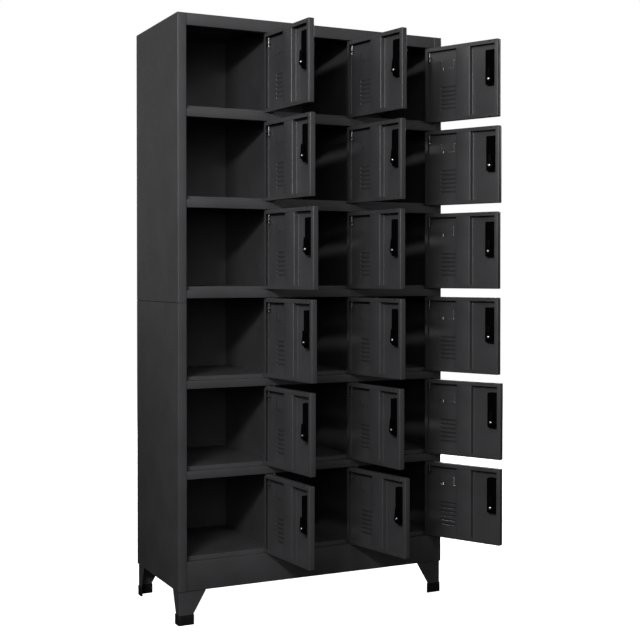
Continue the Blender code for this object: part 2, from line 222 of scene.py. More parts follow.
# Camera, placed from the point on the floor under the front left edge of the body.
CAMERA_FROM_CORNER = (-1.15997, -3.32368, 1.03554)
CAMERA_YAW = 0.4540
CAMERA_PITCH = 0.0126
CAMERA_LENS = 67.27
CAMERA_SHIFT_Y = -0.0488

# Stage. The room's shades run from straight down at 0 to straight up at 1. Each light has a place,
# a width and height, and a power.
ROOM_SHADES = ((0.465, 0.0), (0.485, 0.22), (0.665, 0.22), (0.685, 0.0))
FLOOR_GLOW = 0.98
LIGHTS = (
    ("key", (-2.2, -2.3, 2.15), (0.75, 0.13), 84.0),
    ("key_low", (-3.0, -2.6, 1.9), (0.90, 0.20), 12.6),
    ("left", (-3.5, -0.6, 2.4), (1.40, 1.40), 22.0),
    ("left_high", (-2.6, -1.2, 3.4), (1.24, 1.24), 9.5),
    ("front_left", (-2.2, -4.0, 1.7), (1.40, 1.40), 25.0),
    ("front_high", (0.2, -4.2, 3.4), (1.40, 1.40), 25.0),
    ("front_wide", (-1.2, -3.2, 3.6), (2.60, 1.20), 30.0),
    ("right", (3.4, 1.2, 2.4), (1.60, 1.60), 80.0),
    ("back_middle", (0.4, 4.4, 2.2), (1.60, 1.60), 80.0),
    ("back_right", (2.8, 3.4, 3.0), (1.60, 1.60), 90.0),
)


# ---------------------------------------------------------------- mesh tools


def finished(bm, name):
    """Writes a bmesh to a new mesh, faces outwards, smooth apart from its sharp edges."""
    bmesh.ops.recalc_face_normals(bm, faces=bm.faces)
    mesh = bpy.data.meshes.new(name)
    bm.to_mesh(mesh)
    bm.free()
    return smooth(mesh)


def smooth(mesh, angle=32):
    """Shades a mesh smooth, apart from the edges sharper than the angle in degrees."""
    mesh.polygons.foreach_set("use_smooth", [True] * len(mesh.polygons))
    mesh.set_sharp_from_angle(angle=math.radians(angle))
    return mesh


def block(name, low, high, radius=0.0, steps=3):
    """A box between two corners, with rounded edges if a radius is given."""
    bm = bmesh.new()
    bmesh.ops.create_cube(bm, size=1.0)
    low, high = Vector(low), Vector(high)
    size = high - low
    for vert in bm.verts:
        vert.co = Vector([(vert.co[a] + 0.5) * size[a] + low[a] for a in range(3)])
    if radius:
        bmesh.ops.bevel(
            bm,
            geom=bm.edges[:],
            offset=radius,
            segments=steps,
            profile=0.5,
            affect="EDGES",
            clamp_overlap=True,
        )
    return finished(bm, name)


# Where a point (u, v) of a flat outline lies, at the place w on the axis that the outline faces.
AXIS_PLACES = {
    "X": lambda u, v, w: (w, u, v),
    "Y": lambda u, v, w: (u, w, v),
    "Z": lambda u, v, w: (u, v, w),
}


def prism(name, outline, axis, low, high, bevel=0.0):
    """A flat outline made solid between two places on the axis it faces."""
    put = AXIS_PLACES[axis]
    bm = bmesh.new()
    rings = [[bm.verts.new(put(u, v, w)) for u, v in outline] for w in (low, high)]
    ends = [bm.faces.new(ring) for ring in rings]
    for i in range(len(outline)):
        j = (i + 1) % len(outline)
        bm.faces.new((rings[0][i], rings[0][j], rings[1][j], rings[1][i]))
    if bevel:
        edges = {edge for face in ends for edge in face.edges}
        bmesh.ops.bevel(bm, geom=list(edges), offset=bevel, segments=2, profile=0.5, affect="EDGES")
    return finished(bm, name)


def circle(radius, count, centre=(0.0, 0.0)):
    """A regular outline with this many corners."""
    angles = [2 * math.pi * (i + 0.5) / count for i in range(count)]
    return [(centre[0] + radius * math.cos(a), centre[1] + radius * math.sin(a)) for a in angles]


def rounded_outline(points, radii, steps=5):
    """A closed outline with each corner rounded by its own radius."""
    result = []
    count = len(points)
    for i, (point, radius) in enumerate(zip(points, radii)):
        here = Vector(point)
        before = (here - Vector(points[i - 1])).normalized()
        after = (Vector(points[(i + 1) % count]) - here).normalized()
        result += corner_arc(here, before, after, radius, 0.0, steps)[0]
    return result


def corner_arc(here, before, after, radius, width, steps):
    """Two arcs round one corner: of this radius, and the same one moved left by width."""
    angle = math.atan2(before.cross(after), before.dot(after))
    if radius <= 0.0 or abs(angle) < 1e-6:
        left = Vector((-before.y, before.x))
        return [here], [here + left * width]
    side = 1 if angle > 0 else -1
    start = here - before * radius * math.tan(abs(angle) / 2)
    inward = Vector((-before.y, before.x)) * side
    centre = start + inward * radius
    near, far = [], []
    for step in range(steps + 1):
        spoke = -inward.copy()
        spoke.rotate(Matrix.Rotation(angle * step / steps, 2))
        near.append(centre + spoke * radius)
        far.append(centre + spoke * (radius - side * width))
    return near, far


def fold_outline(path, thickness=SHEET, bend=BEND, steps=BEND_STEPS):
    """Section of a bent sheet: its near face follows the path and its body lies on the left."""
    points = [Vector(p) for p in path]
    first = (points[1] - points[0]).normalized()
    last = (points[-1] - points[-2]).normalized()
    near = [points[0]]
    far = [points[0] + Vector((-first.y, first.x)) * thickness]
    for before_point, here, after_point in zip(points, points[1:], points[2:]):
        before = (here - before_point).normalized()
        after = (after_point - here).normalized()
        radius = bend + thickness if before.cross(after) > 0 else bend
        arc = corner_arc(here, before, after, radius, thickness, steps)
        near += arc[0]
        far += arc[1]
    near.append(points[-1])
    far.append(points[-1] + Vector((-last.y, last.x)) * thickness)
    return [tuple(p) for p in near + far[::-1]]


def turned(name, profile, count, matrix=None):
    """A solid of revolution about Z from (radius, height) points, listed from one end to the other."""
    bm = bmesh.new()
    rings = []
    for radius, height in profile:
        if radius < 1e-7:
            rings.append([bm.verts.new((0.0, 0.0, height))])
            continue
        rings.append([bm.verts.new((x, y, height)) for x, y in circle(radius, count)])
    for lower, upper in zip(rings, rings[1:]):
        for i in range(count):
            j = (i + 1) % count
            near = [lower[i % len(lower)], lower[j % len(lower)]]
            far = [upper[j % len(upper)], upper[i % len(upper)]]
            bm.faces.new(list(dict.fromkeys(near + far)))
    for ring in (rings[0], rings[-1]):
        if len(ring) > 1:
            bm.faces.new(ring)
    if matrix is not None:
        bmesh.ops.transform(bm, matrix=matrix, verts=bm.verts)
    return finished(bm, name)


def combined(name, base, others):
    """The base mesh joined with or cut by the others, each given as (mesh, operation)."""
    host = bpy.data.objects.new(name + "_host", base)
    bpy.context.scene.collection.objects.link(host)
    helpers = [host]
    for mesh, operation in others:
        helper = bpy.data.objects.new(name + "_tool", mesh)
        bpy.context.scene.collection.objects.link(helper)
        helpers.append(helper)
        boolean = host.modifiers.new(operation.lower(), "BOOLEAN")
        boolean.operation = operation
        boolean.solver = "EXACT"
        boolean.object = helper
    bpy.context.view_layer.update()
    bm = bmesh.new()
    bm.from_object(host, bpy.context.evaluated_depsgraph_get())
    bmesh.ops.dissolve_limit(bm, angle_limit=math.radians(0.1), verts=bm.verts, edges=bm.edges)
    result = finished(bm, name)
    for helper in helpers:
        mesh = helper.data
        bpy.data.objects.remove(helper, do_unlink=True)
        bpy.data.meshes.remove(mesh)
    return result


def joined(name, meshes):
    """One mesh that holds several."""
    bm = bmesh.new()
    for mesh in meshes:
        bm.from_mesh(mesh)
    return finished(bm, name)


def cut(name, base, tools):
    """The base mesh with all the tools taken away."""
    return combined(name, base, [(tool, "DIFFERENCE") for tool in tools])


def moved(mesh, matrix):
    """The same mesh moved, with its faces turned back outwards after a mirror."""
    mesh.transform(matrix)
    if matrix.determinant() < 0:
        mesh.flip_normals()
    return mesh


# ---------------------------------------------------------------- materials


def node_material(name, roughness, metallic=0.0):
    """A new material, with its node tree, its shader and a texture coordinate in metres."""
    made = bpy.data.materials.new(name)
    made.use_nodes = True
    nodes = made.node_tree.nodes
    shader = nodes["Principled BSDF"]
    shader.inputs["Roughness"].default_value = roughness
    shader.inputs["Metallic"].default_value = metallic
    place = nodes.new("ShaderNodeTexCoord")
    return made, made.node_tree, shader, place.outputs["Object"]


def noise(tree, place, scale, detail, roughness):
    """A cloudy value between 0 and 1."""
    node = tree.nodes.new("ShaderNodeTexNoise")
    node.inputs["Scale"].default_value = scale
    node.inputs["Detail"].default_value = detail
    node.inputs["Roughness"].default_value = roughness
    tree.links.new(place, node.inputs["Vector"])
    return node.outputs["Fac"]


def ramp(tree, factor, stops):
    """A colour that runs through (position, colour) stops."""
    node = tree.nodes.new("ShaderNodeValToRGB")
    elements = node.color_ramp.elements
    while len(elements) < len(stops):
        elements.new(0.5)
    for element, (at, colour) in zip(elements, stops):
        element.position = at
        element.color = (*colour, 1.0)
    tree.links.new(factor, node.inputs["Fac"])
    return node.outputs["Color"]


def span(tree, factor, low, high):
    """Maps 0..1 to low..high."""
    node = tree.nodes.new("ShaderNodeMapRange")
    node.inputs["To Min"].default_value = low
    node.inputs["To Max"].default_value = high
    tree.links.new(factor, node.inputs["Value"])
    return node.outputs["Result"]


def bump(tree, shader, height, strength, distance):
    """Roughens the surface of a shader by a height value."""
    node = tree.nodes.new("ShaderNodeBump")
    node.inputs["Strength"].default_value = strength
    node.inputs["Distance"].default_value = distance
    tree.links.new(height, node.inputs["Height"])
    tree.links.new(node.outputs["Normal"], shader.inputs["Normal"])


def powder_coat(name, colour):
    """Matt stoved powder: a fine orange peel over faint mottling."""
    made, tree, shader, place = node_material(name, roughness=0.42)
    shader.inputs["Specular IOR Level"].default_value = 0.45
    mottle = noise(tree, place, scale=9.0, detail=3.0, roughness=0.55)
    dark = tuple(c * 0.86 for c in colour)
    light = tuple(c * 1.12 for c in colour)
    tree.links.new(ramp(tree, mottle, ((0.3, dark), (0.7, light))), shader.inputs["Base Color"])
    haze = noise(tree, place, scale=55.0, detail=2.0, roughness=0.6)
    tree.links.new(span(tree, haze, 0.36, 0.50), shader.inputs["Roughness"])
    peel = noise(tree, place, scale=900.0, detail=2.0, roughness=0.5)
    bump(tree, shader, peel, strength=0.35, distance=0.00012)
    return made


def moulded_plastic(name, colour, roughness, gloss):
    """Black plastic with a fine spark-eroded grain."""
    made, tree, shader, place = node_material(name, roughness)
    shader.inputs["Specular IOR Level"].default_value = gloss
    shade = noise(tree, place, scale=40.0, detail=2.0, roughness=0.5)
    dark = tuple(c * 0.8 for c in colour)
    light = tuple(c * 1.3 for c in colour)
    tree.links.new(ramp(tree, shade, ((0.35, dark), (0.7, light))), shader.inputs["Base Color"])
    tree.links.new(span(tree, shade, roughness - 0.06, roughness + 0.08), shader.inputs["Roughness"])
    grain = noise(tree, place, scale=1600.0, detail=2.0, roughness=0.6)
    bump(tree, shader, grain, strength=0.4, distance=0.0001)
    return made


def plated_metal(name, dark, light, roughness):
    """Plated steel with a cloudy passivated surface."""
    made, tree, shader, place = node_material(name, roughness, metallic=1.0)
    cloud = noise(tree, place, scale=160.0, detail=3.0, roughness=0.6)
    tree.links.new(ramp(tree, cloud, ((0.3, dark), (0.7, light))), shader.inputs["Base Color"])
    tree.links.new(span(tree, cloud, roughness - 0.08, roughness + 0.12), shader.inputs["Roughness"])
    scratch = noise(tree, place, scale=700.0, detail=2.0, roughness=0.6)
    bump(tree, shader, scratch, strength=0.25, distance=0.00008)
    return made


PAINT = powder_coat("anthracite_powder_coat", (0.031, 0.031, 0.033))
HOUSING_PLASTIC = moulded_plastic("black_lock_plastic", (0.0010, 0.0010, 0.0011), roughness=0.8, gloss=0.005)
FOOT_PLASTIC = moulded_plastic("black_foot_plastic", (0.005, 0.005, 0.005), roughness=0.6, gloss=0.12)
BLACK_METAL = plated_metal("black_plated_steel", (0.003, 0.003, 0.003), (0.006, 0.006, 0.006), roughness=0.45)
ZINC = plated_metal("zinc_plate", (0.60, 0.61, 0.62), (0.80, 0.81, 0.82), roughness=0.26)
PIN_ZINC = plated_metal("dull_zinc_plate", (0.14, 0.14, 0.15), (0.22, 0.22, 0.23), roughness=0.36)
CHROME = plated_metal("chrome_plate", (0.66, 0.66, 0.66), (0.76, 0.76, 0.76), roughness=0.14)


def piece(name, mesh, material, body, nodes=(), at=CENTRE):
    """A visible piece that rides on a body and stands for some CAD nodes."""
    mesh.materials.append(material)
    obj = bpy.data.objects.new(name, mesh)
    obj.location = at
    bpy.context.scene.collection.objects.link(obj)
    bpy.context.view_layer.update()
    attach(obj, body)
    if nodes:
        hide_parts(*nodes)


# ---------------------------------------------------------------- carcass


def opening_left(column):
    """X of the left edge of a column's openings."""
    return -WIDTH / 2 + SIDE_FLANGE + column * (OPENING_WIDTH + DIVIDER_FRONT)


def opening_bottom(row):
    """Top of the rail under a row, with the rows counted from the top one."""
    return FLOOR_Z + (ROWS - 1 - row) * ROW_PITCH


def hinge_xy(column):
    """Where the hinge line of a column's doors stands."""
    edge = opening_left(column) + OPENING_WIDTH
    return edge - DOOR_SIDE_GAP - HINGE_INSET, FRONT + HINGE_BEHIND_FRONT


def pin_holes(low, high):
    """Tools that bore the hinge pins' holes through a rail between two heights."""
    return [
        prism("pin_hole", circle(PIN_HOLE_RADIUS, PIN_SIDES, hinge_xy(column)), "Z", low, high)
        for column in range(COLUMNS)
    ]


def side_panel(name, side, low, high, fold_top):
    """A side panel with its rear fold, front strip and return lip."""
    half = -WIDTH / 2
    path = [
        (half + REAR_FLANGE, DEPTH / 2),
        (half, DEPTH / 2),
        (half, FRONT),
        (half + SIDE_FLANGE, FRONT),
        (half + SIDE_FLANGE, FRONT + RETURN_LIP),
    ]
    panel = prism(name, fold_outline(path), "Z", low, high)
    if fold_top < high:
        near = (half + FOLD_RELIEF, FRONT - PAST, fold_top)
        far = (0.0, FRONT + PAST_LIPS, high + PAST)
        panel = cut(name, panel, [block("relief", near, far)])
    if side > 0:
        moved(panel, Matrix.Diagonal((-1.0, 1.0, 1.0, 1.0)))
    piece(name + "_sheet", panel, PAINT, "carcass", [name])


def shelf(name, rail_bottom, rail_top, slotted):
    """A shelf folded from one sheet, with slots for the dividers if they run on through it.

    From back to front it has a flange, the floor, a step, a ledge, the rail and a lip.
    """
    floor = rail_top + STEP_HEIGHT
    path = [
        (BACK_INNER, floor - SHELF_REAR_FLANGE),
        (BACK_INNER, floor),
        (STEP_FACE, floor),
        (STEP_FACE, rail_top),
        (FRONT, rail_top),
        (FRONT, rail_bottom),
        (FRONT + RAIL_LIP, rail_bottom),
    ]
    outer = WIDTH / 2 - SHEET - GAP
    mesh = prism(name, fold_outline(path), "X", -outer, outer)
    tools = pin_holes(rail_bottom - PAST, rail_top + PAST_SHEET)
    inner = WIDTH / 2 - SIDE_FLANGE - GAP
    step_low, step_high = rail_top + HAIR, floor - SHEET - BEND
    gaps = [(-WIDTH, opening_left(0) + STEP_INSET)]
    for column in range(1, COLUMNS):
        left = opening_left(column)
        gaps.append((left - DIVIDER_FRONT - STEP_INSET, left + STEP_INSET))
    gaps.append((WIDTH / 2 - SIDE_FLANGE - STEP_INSET, WIDTH))
    for low, high in gaps:
        near_corner = (low, STEP_FACE - PAST_SHEET, step_low)
        tools.append(block("relief", near_corner, (high, STEP_FACE + 2 * PAST_SHEET, step_high)))
    for side in (-1, 1):
        near, far = sorted((side * inner, side * WIDTH))
        near_corner = (near, FRONT - PAST, rail_bottom - PAST)
        tools.append(block("trim", near_corner, (far, STEP_FACE + OVERLAP, step_high)))
    if slotted:
        for column in range(1, COLUMNS):
            left = opening_left(column) - DIVIDER_FRONT
            near_corner = (left - GAP, 0.0, rail_bottom)
            tools.append(block("slot", near_corner, (left + SHEET + GAP, DEPTH, floor + PAST)))
    piece(name + "_sheet", cut(name, mesh, tools), PAINT, "carcass", [name])


def top_panel():
    """The top panel, whose front edge folds down into the top rail."""
    low = HEIGHT - TOP_RAIL_HEIGHT
    path = [
        (BACK_INNER, HEIGHT - SHELF_REAR_FLANGE),
        (BACK_INNER, HEIGHT),
        (FRONT, HEIGHT),
        (FRONT, low),
        (FRONT + RAIL_LIP, low),
    ]
    outer = WIDTH / 2 - SHEET - GAP
    inner = WIDTH / 2 - SIDE_FLANGE - GAP
    mesh = prism("top_panel", fold_outline(path), "X", -outer, outer)
    tools = pin_holes(low - PAST_SHEET, low + PAST_SHEET)
    for side in (-1, 1):
        near, far = sorted((side * inner, side * WIDTH))
        far_corner = (far, FRONT + PAST_LIPS, HEIGHT - SHEET - BEND)
        tools.append(block("trim", (near, FRONT - PAST, low - PAST), far_corner))
    piece("top_panel_sheet", cut("top_panel", mesh, tools), PAINT, "carcass", ["top_panel"])


def divider(name, column):
    """The sheet between two columns, folded to a narrow front strip and a return lip."""
    left = opening_left(column) - DIVIDER_FRONT
    path = [
        (left, BACK_INNER),
        (left, FRONT),
        (left + DIVIDER_FRONT, FRONT),
        (left + DIVIDER_FRONT, FRONT + RETURN_LIP),
    ]
    mesh = prism(name, fold_outline(path), "Z", FLOOR_Z + GAP, HEIGHT - SHEET - GAP)
    ahead = FRONT - PAST
    step = STEP_FACE - GAP

    def notch(y_range, z_range):
        """A tool right across the sheet, over these depths and heights."""
        near_corner = (left - PAST, y_range[0], z_range[0])
        return block("notch", near_corner, (left + PAST, y_range[1], z_range[1]))

    tools = [
        notch((ahead, FRONT + RAIL_LIP + GAP), (HEIGHT - TOP_RAIL_HEIGHT - GAP, ABOVE)),
        notch((BACK_INNER - SHEET - GAP, BEYOND), (HEIGHT - SHELF_REAR_FLANGE - GAP, ABOVE)),
        notch((step, BEYOND), (0.0, FLOOR_Z + STEP_HEIGHT + GAP)),
    ]
    for row in range(ROWS - 1):
        rail = opening_bottom(row)
        floor = rail + STEP_HEIGHT
        tools.append(notch((ahead, FRONT + LEDGE_DEPTH + GAP), (rail - RAIL_HEIGHT - GAP, rail + GAP)))
        tools.append(notch((step, GAP), (floor - SHEET - GAP, floor + GAP)))
    piece(name + "_sheet", cut(name, mesh, tools), PAINT, "carcass", [name])


def seam_strips():
    """Closes the seams of the body: a painted strip outside the back, and black strips inside the sides that
    stop light leaking through and keep those seams dark as painted shade.
    """
    low, high = SEAM_LOW - SEAM_LAP, SEAM_HIGH + SEAM_LAP
    half = WIDTH / 2 - REAR_FLANGE - 2 * GAP
    near, far = DEPTH / 2 - SHEET - GAP + HAIR, DEPTH / 2 - HAIR
    strip = block("back_seam_strip", (-half, near, low), (half, far, high), FINE_BEVEL)
    piece("back_seam_strip", strip, PAINT, "carcass")
    edge, front = SHEET + HAIR - WIDTH / 2, FRONT + SHEET + HAIR
    path = [
        (edge + REAR_FLANGE, BACK_INNER),
        (edge, BACK_INNER),
        (edge, front),
        (edge + SIDE_FLANGE - 3 * SHEET, front),
    ]
    # Black strips behind the side seams: painted shade, a dark sheet that keeps each seam a dark line and
    # blocks light leaking through it.
    for side, word in ((-1, "left"), (1, "right")):
        name = f"{word}_seam_strip"
        strip = prism(name, fold_outline(path), "Z", low, high)
        piece(name, moved(strip, Matrix.Diagonal((-side, 1.0, 1.0, 1.0))), FOOT_PLASTIC, "carcass")


def build_carcass():
    for side, word in ((-1, "left"), (1, "right")):
        low, high = SEAM_LOW - SEAM_EASE, SEAM_HIGH + SEAM_EASE
        side_panel(f"side_{word}_lower", side, LEG_HEIGHT, low, low)
        side_panel(f"side_{word}_upper", side, high, HEIGHT, HEIGHT - SHEET - GAP)
    top_panel()
    for row in range(ROWS - 1):
        top = opening_bottom(row)
        shelf(f"shelf_{row + 1}", top - RAIL_HEIGHT, top, slotted=True)
    shelf("bottom_shelf", LEG_HEIGHT, FLOOR_Z, slotted=False)
    for column in range(1, COLUMNS):
        divider(f"divider_{column}", column)
    seam_strips()
    for name in ("back_lower", "back_upper", "base_panel"):
        repaint(name, PAINT)


def repaint(name, material):
    """Keeps a CAD node's shape and gives it a finished material."""
    mesh = frame["nodes"][name].data
    mesh.materials.clear()
    mesh.materials.append(material)


# ---------------------------------------------------------------- doors


def across(distance):
    """X of a place on a door, from its hinge-side edge."""
    return HINGE_INSET - distance


def down(distance):
    """Z of a place on a door, from its top edge."""
    return DOOR_HEIGHT - distance


def pan_shell():
    """Skin, walls and inner lips of a door: the section of its edge taken round a rectangle."""
    path = [(DOOR_LIP, DOOR_INNER), (0.0, DOOR_INNER), (0.0, DOOR_OUTER), (DOOR_RIM, DOOR_OUTER)]
    outline = fold_outline(path, SHEET, DOOR_BEND)
    half = len(outline) // 2
    section = outline[half:] + outline[:half]
    corners = (
        (HINGE_INSET, DOOR_HEIGHT, 1, 1),
        (FREE_EDGE, DOOR_HEIGHT, -1, 1),
        (FREE_EDGE, 0.0, -1, -1),
        (HINGE_INSET, 0.0, 1, -1),
    )
    bm = bmesh.new()
    rings = []
    for quarter, (x, z, out_x, out_z) in enumerate(corners):
        for step in range(CORNER_STEPS + 1):
            angle = (quarter + step / CORNER_STEPS) * math.pi / 2
            ring = []
            for inset, y in section:
                reach = max(inset, DOOR_CORNER)
                radius = reach - inset
                place_x = x - out_x * reach + radius * math.cos(angle)
                place_z = z - out_z * reach + radius * math.sin(angle)
                ring.append(bm.verts.new((place_x, y, place_z)))
            rings.append(ring)
    for i, ring in enumerate(rings):
        after = rings[(i + 1) % len(rings)]
        for j in range(len(section) - 1):
            bm.faces.new((ring[j], ring[j + 1], after[j + 1], after[j]))
    for end in (0, -1):
        bm.faces.new([ring[end] for ring in rings])
    bmesh.ops.remove_doubles(bm, verts=bm.verts, dist=1e-6)
    return finished(bm, "door_shell")


def skin_window(low, high):
    """A tool that opens the skin of a door between two (x, z) corners."""
    return block("window", (low[0], OUTSIDE, low[1]), (high[0], DOOR_SKIN + OVERLAP, high[1]))


def louvre_spans():
    """The (x, z) corners of each louvre, from the top one down."""
    for i in range(LOUVRES):
        top = down(LOUVRE_TOP + i * LOUVRE_PITCH)
        yield (across(LOUVRE_SPAN[1]), top - LOUVRE_HEIGHT), (across(LOUVRE_SPAN[0]), top)


def louvre(low, high):
    """A hood pressed outwards from the skin and open along its bottom edge."""
    columns, rows = LOUVRE_FACETS
    bm = bmesh.new()

    def grid(level):
        """Adds one face of the hood, and returns the loop of points round its rim."""
        lines = []
        for j in range(rows + 1):
            fall = math.sin(j / rows * math.pi / 2)
            line = []
            for i in range(columns + 1):
                x = low[0] + (high[0] - low[0]) * (1 - math.cos(math.pi * i / columns)) / 2
                near = min(x - low[0], high[0] - x, LOUVRE_END) / LOUVRE_END
                depth = LOUVRE_DEPTH * fall * math.sqrt(max(0.0, 1 - (1 - near) ** 2))
                line.append(bm.verts.new((x, level - depth, high[1] + (low[1] - high[1]) * j / rows)))
            lines.append(line)
        for upper, lower in zip(lines, lines[1:]):
            for i in range(columns):
                bm.faces.new((upper[i], upper[i + 1], lower[i + 1], lower[i]))
        right = [line[-1] for line in lines[1:]]
        left = [line[0] for line in lines[-2:0:-1]]
        return lines[0] + right + lines[-1][-2::-1] + left

    outer, inner = grid(DOOR_OUTER), grid(DOOR_SKIN)
    for i in range(len(outer)):
        j = (i + 1) % len(outer)
        bm.faces.new((outer[i], outer[j], inner[j], inner[i]))
    return finished(bm, "louvre")


def card_tabs():
    """Three tabs outside the door that hold a name card, and the windows they were lifted from."""
    tabs, windows = [], []
    stand = DOOR_OUTER - CARD_STAND
    for (near, far), (top, bottom), root in CARD_TABS:
        windows.append(skin_window((across(far), down(bottom)), (across(near), down(top))))
        low, high = [across(far), down(bottom)], [across(near), down(top)]
        foot_low, foot_high = list(low), list(high)
        if root == "free":
            high[0] += CARD_LAP
            low[0] = foot_low[0] = low[0] - SHEET
            foot_high[0] = foot_low[0] + SHEET
        elif root == "hinge":
            low[0] -= CARD_LAP
            high[0] = foot_high[0] = high[0] + SHEET
            foot_low[0] = foot_high[0] - SHEET
        else:
            high[1] += CARD_LAP
            low[1] = foot_low[1] = low[1] - SHEET
            foot_high[1] = foot_low[1] + SHEET
        corners = [(low[0], low[1]), (high[0], low[1]), (high[0], high[1]), (low[0], high[1])]
        outline = rounded_outline(corners, [CARD_CORNER] * 4, steps=4)
        tabs.append(prism("tab", outline, "Y", stand - SHEET, stand, FINE_BEVEL))
        foot_start = (foot_low[0], stand - FINE_BEVEL, foot_low[1])
        tabs.append(block("foot", foot_start, (foot_high[0], DOOR_SKIN, foot_high[1])))
    return tabs, windows


def door_pan():
    """The folded pan with its louvres, card holder, lip joints and lock opening."""
    tabs, tools = card_tabs()
    hoods = []
    for low, high in louvre_spans():
        tools.append(skin_window((low[0], low[1] + LOUVRE_LAP), high))
        hoods.append(louvre(low, high))
    lip_under = DOOR_INNER - SHEET - GAP
    for edge, way in ((FREE_EDGE, 1), (HINGE_INSET, -1)):
        x = edge + way * DOOR_LIP
        for z, up in ((0.0, 1), (DOOR_HEIGHT, -1)):
            near, far = sorted((z + up * LIP_JOINT_START, z + up * (DOOR_LIP + LIP_JOINT)))
            near_corner = (x - LIP_JOINT / 2, lip_under, near)
            tools.append(block("joint", near_corner, (x + LIP_JOINT / 2, INSIDE, far)))
    for z in (0.0, DOOR_HEIGHT):
        x = FREE_EDGE + FOLD_SLOT_SIDE
        near_corner = (x, DOOR_INNER - FOLD_SLOT_DEPTH, z - FOLD_SLOT_RUN)
        tools.append(block("fold_slot", near_corner, (x + FOLD_SLOT_WIDTH, INSIDE, z + FOLD_SLOT_RUN)))
    tools.append(
        skin_window(
            (FREE_EDGE + HOUSING_SIDE[0] + HOUSING_LAP, down(HOUSING_TOP[1] - HOUSING_LAP)),
            (FREE_EDGE + HOUSING_SIDE[1] - HOUSING_LAP, down(HOUSING_TOP[0] + HOUSING_LAP)),
        )
    )
    pan = cut("pan", pan_shell(), [joined("windows", tools)])
    return joined("door_pan", [pan, *hoods, *tabs])


def door_stiffener():
    """A hat section with a foot along each side, welded to the skin and run under the lips."""
    face = DOOR_INNER - 2 * SHEET - HAIR
    left, right = across(STIFFENER[1]) + SHEET, across(STIFFENER[0]) - SHEET
    path = [
        (left - STIFFENER_FOOT, DOOR_SKIN),
        (left, DOOR_SKIN),
        (left, face),
        (right, face),
        (right, DOOR_SKIN),
        (right + STIFFENER_FOOT, DOOR_SKIN),
    ]
    outline = fold_outline(path, SHEET, STIFFENER_BEND)
    return prism("door_stiffener", outline, "Z", STIFFENER_END, DOOR_HEIGHT - STIFFENER_END)


def lock_at():
    """Where the lock's axis crosses the door's outer face."""
    return Vector((FREE_EDGE + LOCK_SIDE, DOOR_OUTER, down(LOCK_TOP)))


def lock_axis(name, profile, count):
    """Something turned about the lock's axis, with heights measured from the outer face."""
    onto_y = Matrix.Rotation(-math.pi / 2, 4, "X")
    return turned(name, profile, count, Matrix.Translation(lock_at()) @ onto_y)


def housing_layer(name, low, high, grow, corner, bevel=0.0):
    """A rounded block over the lock housing's place, grown sideways, between two depths."""
    left, right = FREE_EDGE + HOUSING_SIDE[0] - grow, FREE_EDGE + HOUSING_SIDE[1] + grow
    bottom, top = down(HOUSING_TOP[1] + grow), down(HOUSING_TOP[0] - grow)
    corners = [(left, bottom), (right, bottom), (right, top), (left, top)]
    return prism(name, rounded_outline(corners, [corner] * 4), "Y", low, high, bevel)


def door_housing():
    """The black lock body: a bezel outside, a finger recess and a barrel for the key plug."""
    deep = DOOR_OUTER + HOUSING_DEPTH
    front = DOOR_OUTER - BEZEL_THICKNESS
    inside = housing_layer("housing", DOOR_SKIN, deep, grow=0.0, corner=0.0035, bevel=0.0009)
    neck = housing_layer("neck", DOOR_OUTER - GAP, DOOR_SKIN + OVERLAP, grow=-0.0023, corner=0.0015)
    bezel = housing_layer("bezel", front, DOOR_OUTER, grow=0.0012, corner=0.0045, bevel=0.0003)
    start, end = BARREL_SPAN
    barrel_profile = [
        (BARREL_RADIUS, start),
        (BARREL_RADIUS, end - BARREL_CHAMFER),
        (BARREL_RADIUS - BARREL_CHAMFER, end),
        (0.0, end),
    ]
    barrel = lock_axis("barrel", barrel_profile, LOCK_SIDES)
    pull = block(
        "pull",
        (FREE_EDGE + HOUSING_SIDE[0] + PULL_WALL, DOOR_OUTER - PAST, down(PULL_TOP[1])),
        (FREE_EDGE + HOUSING_SIDE[1] - PULL_WALL, deep - PULL_FLOOR, down(PULL_TOP[0])),
        PULL_ROUNDING,
        steps=4,
    )
    bore = lock_axis("bore", [(PLUG_HOLE_RADIUS, -PAST), (PLUG_HOLE_RADIUS, PLUG_BORE_END)], LOCK_SIDES)
    added = [(neck, "UNION"), (bezel, "UNION"), (barrel, "UNION")]
    return combined("door_housing", inside, added + [(pull, "DIFFERENCE"), (bore, "DIFFERENCE")])


def hinge_bracket():
    """A small angle on the skin that steadies the top pin."""
    path = [
        (BRACKET_REACH, down(BRACKET_Z)),
        (DOOR_SKIN, down(BRACKET_Z)),
        (DOOR_SKIN, down(BRACKET_Z + BRACKET_FOOT)),
    ]
    outline = fold_outline(path, BRACKET_THICKNESS, BRACKET_BEND)
    bracket = prism("bracket", outline, "X", BRACKET_START, HINGE_INSET - SHEET, FINE_BEVEL)
    hole = prism("hole", circle(PIN_RADIUS + PIN_PLAY, PIN_SIDES), "Z", 0.0, BEYOND)
    return cut("hinge_bracket", bracket, [hole])


def hinge_pin(name, low, high):
    """A zinc pin on the hinge axis, with chamfered ends."""
    r, c = PIN_RADIUS, PIN_CHAMFER
    profile = [(0.0, low), (r - c, low), (r, low + c), (r, high - c), (r - c, high), (0.0, high)]
    return turned(name, profile, PIN_SIDES)


